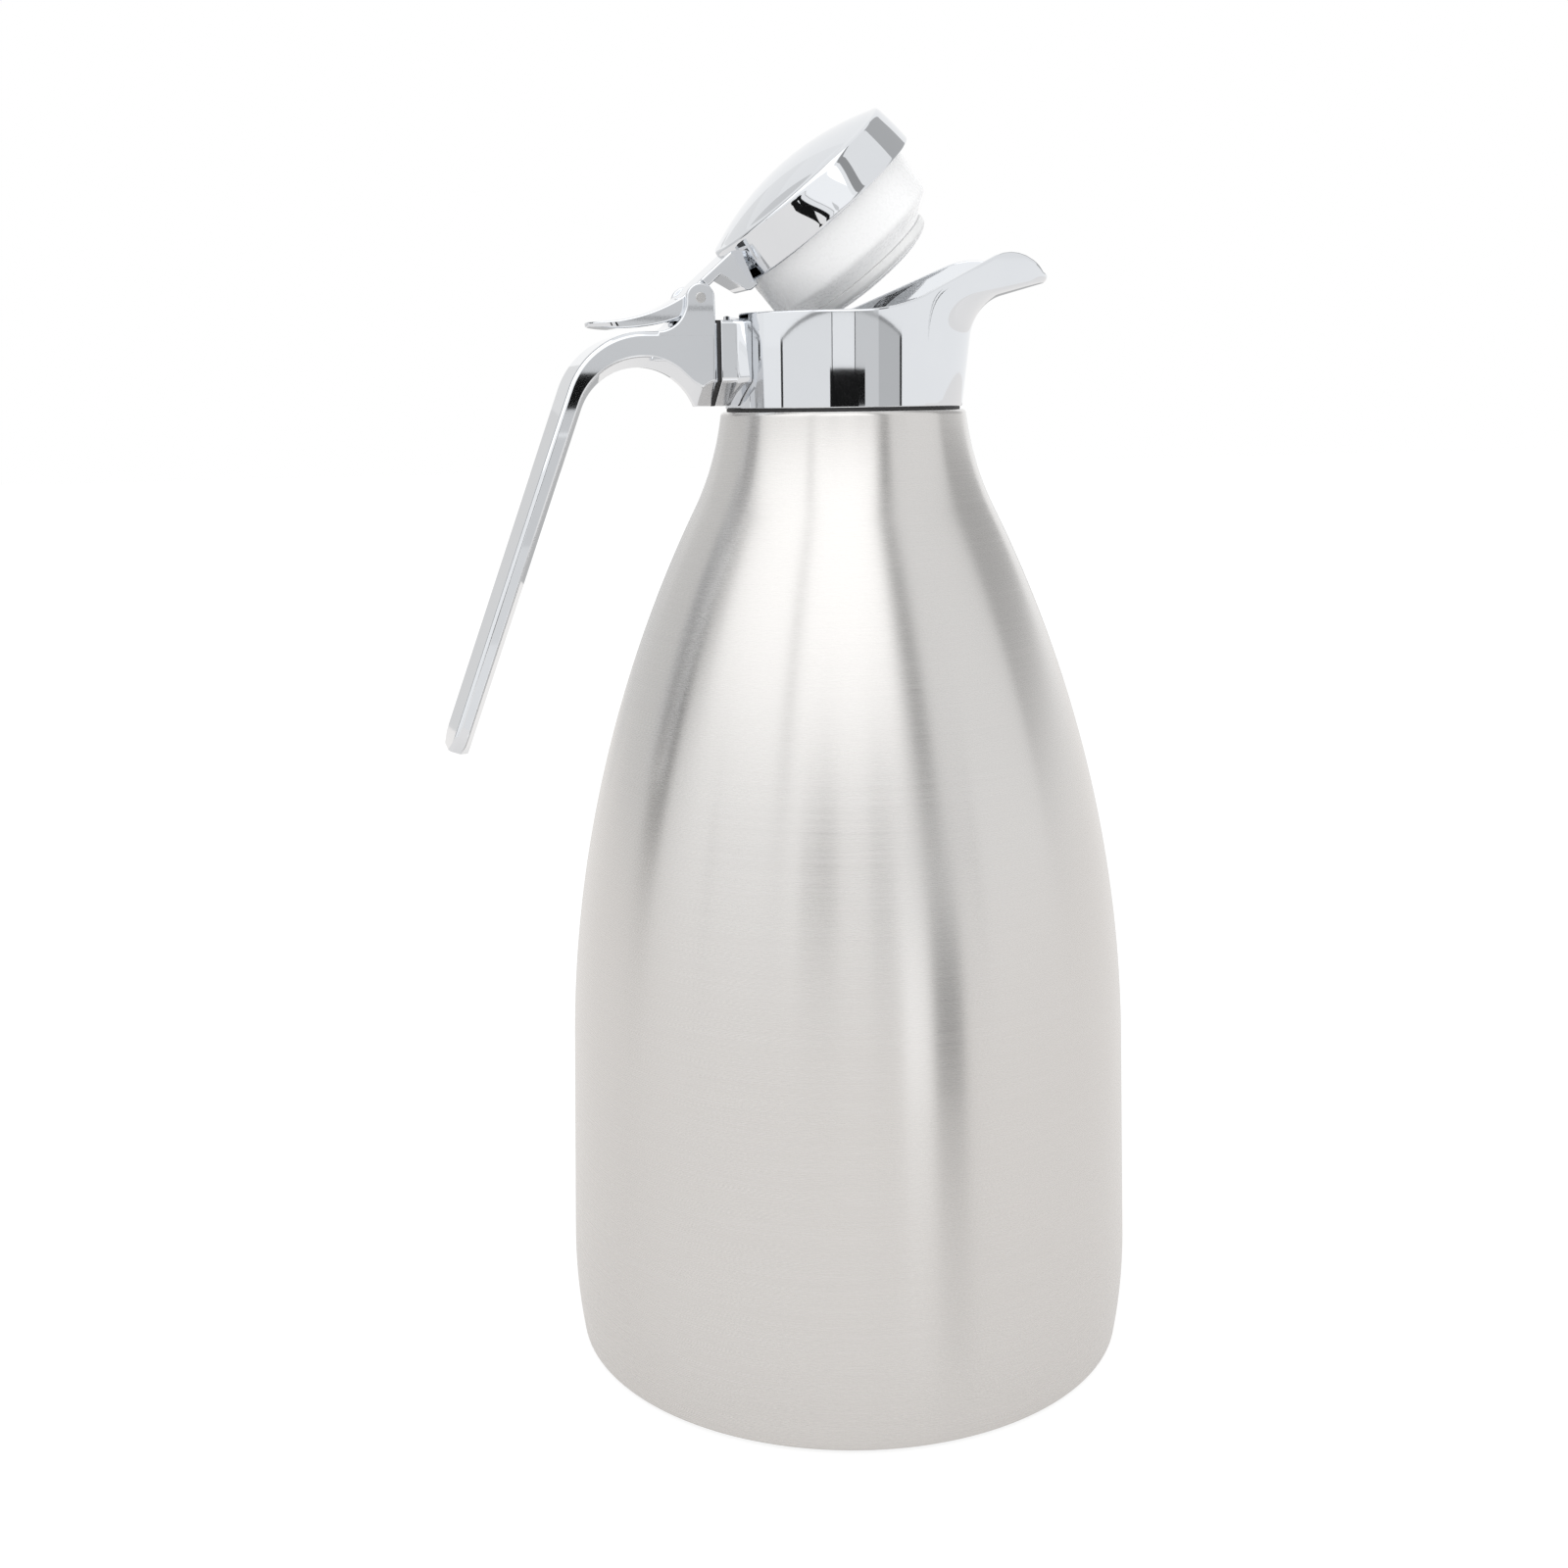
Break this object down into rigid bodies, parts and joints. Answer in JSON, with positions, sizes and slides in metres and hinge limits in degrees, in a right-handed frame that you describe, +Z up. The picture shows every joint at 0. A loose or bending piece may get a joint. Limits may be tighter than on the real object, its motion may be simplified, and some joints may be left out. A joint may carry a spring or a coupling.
{
  "type": "thermal coffee server",
  "caption": "Tall tapered vacuum-insulated steel coffee server with a chrome pouring collar, an open-ended handle and a hinged lid whose stopper lifts by a thumb lever.",
  "frame": {"origin": "on the table, at the middle of the flat foot, on the vessel's axis", "axes": "+Z up along the vessel's axis, +X from the handle towards the spout, +Y to the left of someone who looks along +X"},
  "size_m": [0.182, 0.1538, 0.3247],
  "materials": {
    "brushed_shell": "fine hairline brushed, satin",
    "steel_liner": "dull satin",
    "base_steel": "satin",
    "black_rubber": "matte",
    "steel_fixing": "machined",
    "brass_plug": "dull",
    "white_plastic": "semi-matt milky white",
    "chrome": "polished",
    "foam": "open foam",
    "silicone": "smooth, slightly translucent"
  },
  "bodies": {
    "jug": {"outer_shell": "brushed_shell", "inner_liner": "steel_liner", "base_plate": "steel_liner", "base_cover": "base_steel", "foot_pad": "black_rubber", "getter_capsule": "steel_fixing", "vent_plug": "brass_plug", "mouth_funnel": "white_plastic", "neck_gasket": "black_rubber", "pouring_collar": "chrome", "handle": "chrome", "handle_gasket": "black_rubber", "handle_screw_near": "steel_fixing", "handle_screw_far": "steel_fixing", "hinge_pin": "steel_fixing"},
    "lid": {"lid_cover": "chrome", "thumb_lever": "chrome", "lever_screw_near": "steel_fixing", "lever_screw_far": "steel_fixing", "stopper_plate": "white_plastic", "stopper_screw": "steel_fixing", "screw_washer": "steel_fixing", "stopper_cup": "white_plastic", "stopper_foam": "foam", "stopper_seal": "silicone"}
  },
  "joints": [
    {"name": "lid_hinge", "type": "hinge", "parent": "jug", "child": "lid", "pos_m": [-0.0391, 0, 0.27905], "axis": [0, -1, 0], "range_deg": [-40.9, 3]}
  ]
}
